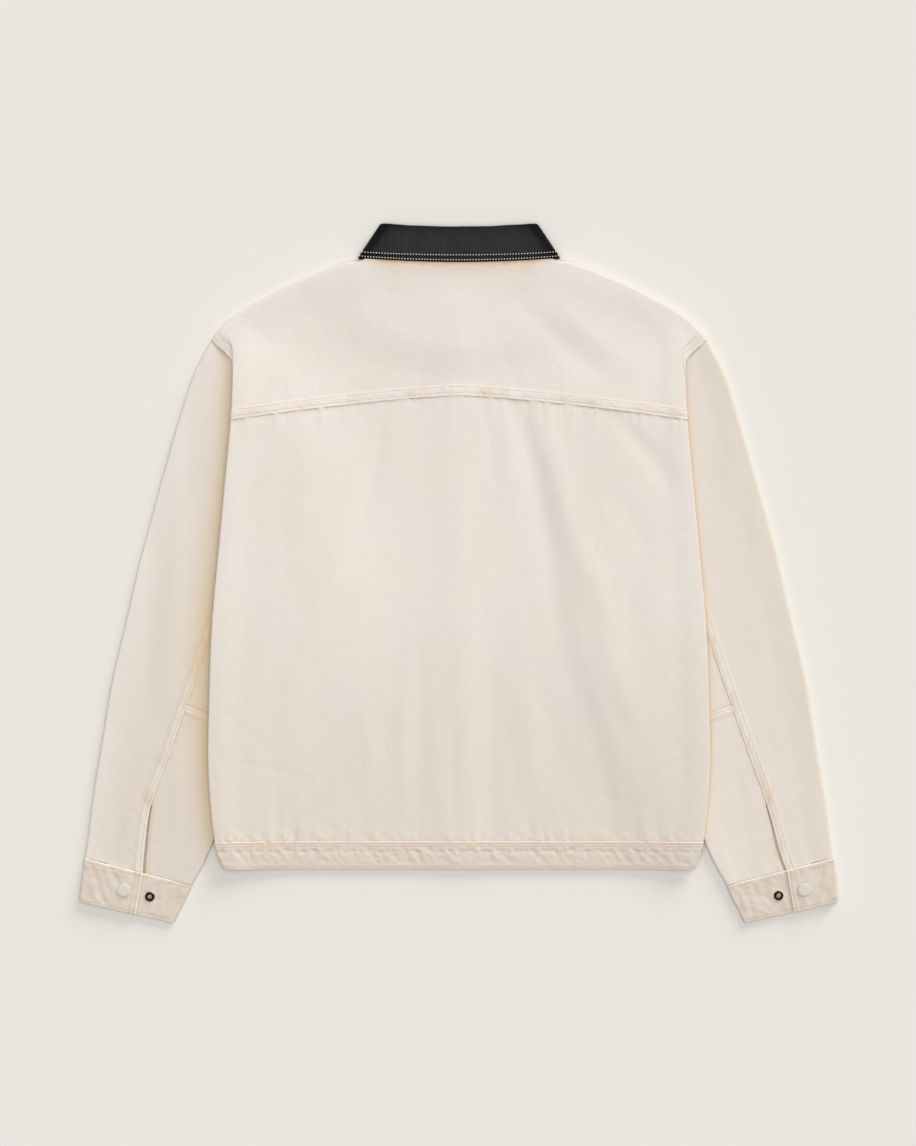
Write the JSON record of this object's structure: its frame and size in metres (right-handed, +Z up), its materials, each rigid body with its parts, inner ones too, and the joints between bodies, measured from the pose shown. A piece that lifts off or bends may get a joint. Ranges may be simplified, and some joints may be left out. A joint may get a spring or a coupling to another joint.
{
  "type": "chore jacket",
  "caption": "Cotton canvas chore jacket laid flat on its front, back yoke and corduroy collar up, sleeves tucked under the body's sides.",
  "frame": {"origin": "on the ground under the middle of the laid-out jacket", "axes": "+X across the jacket towards its right sleeve, +Y towards the collar, +Z up out of its back"},
  "size_m": [0.834, 0.768, 0.0145],
  "materials": {
    "canvas": "washed ecru cotton canvas",
    "corduroy": "black fine-wale corduroy",
    "thread": "ivory cotton sewing thread",
    "enamel": "ivory enamelled snap cap",
    "snap_brass": "dark antiqued brass"
  },
  "bodies": {
    "root": {"back_yoke": "canvas", "back_panel": "canvas", "hem_back": "canvas", "front_left": "canvas", "front_right": "canvas", "hem_front_left": "canvas", "hem_front_right": "canvas", "collar": "corduroy", "sleeve_top_left": "canvas", "sleeve_top_right": "canvas", "sleeve_under_upper_left": "canvas", "sleeve_under_upper_right": "canvas", "sleeve_under_lower_left": "canvas", "sleeve_under_lower_right": "canvas", "cuff_left": "canvas", "cuff_right": "canvas", "snap_cap_left": "enamel", "snap_cap_right": "enamel", "snap_stud_left": "snap_brass", "snap_stud_right": "snap_brass"}
  },
  "joints": []
}
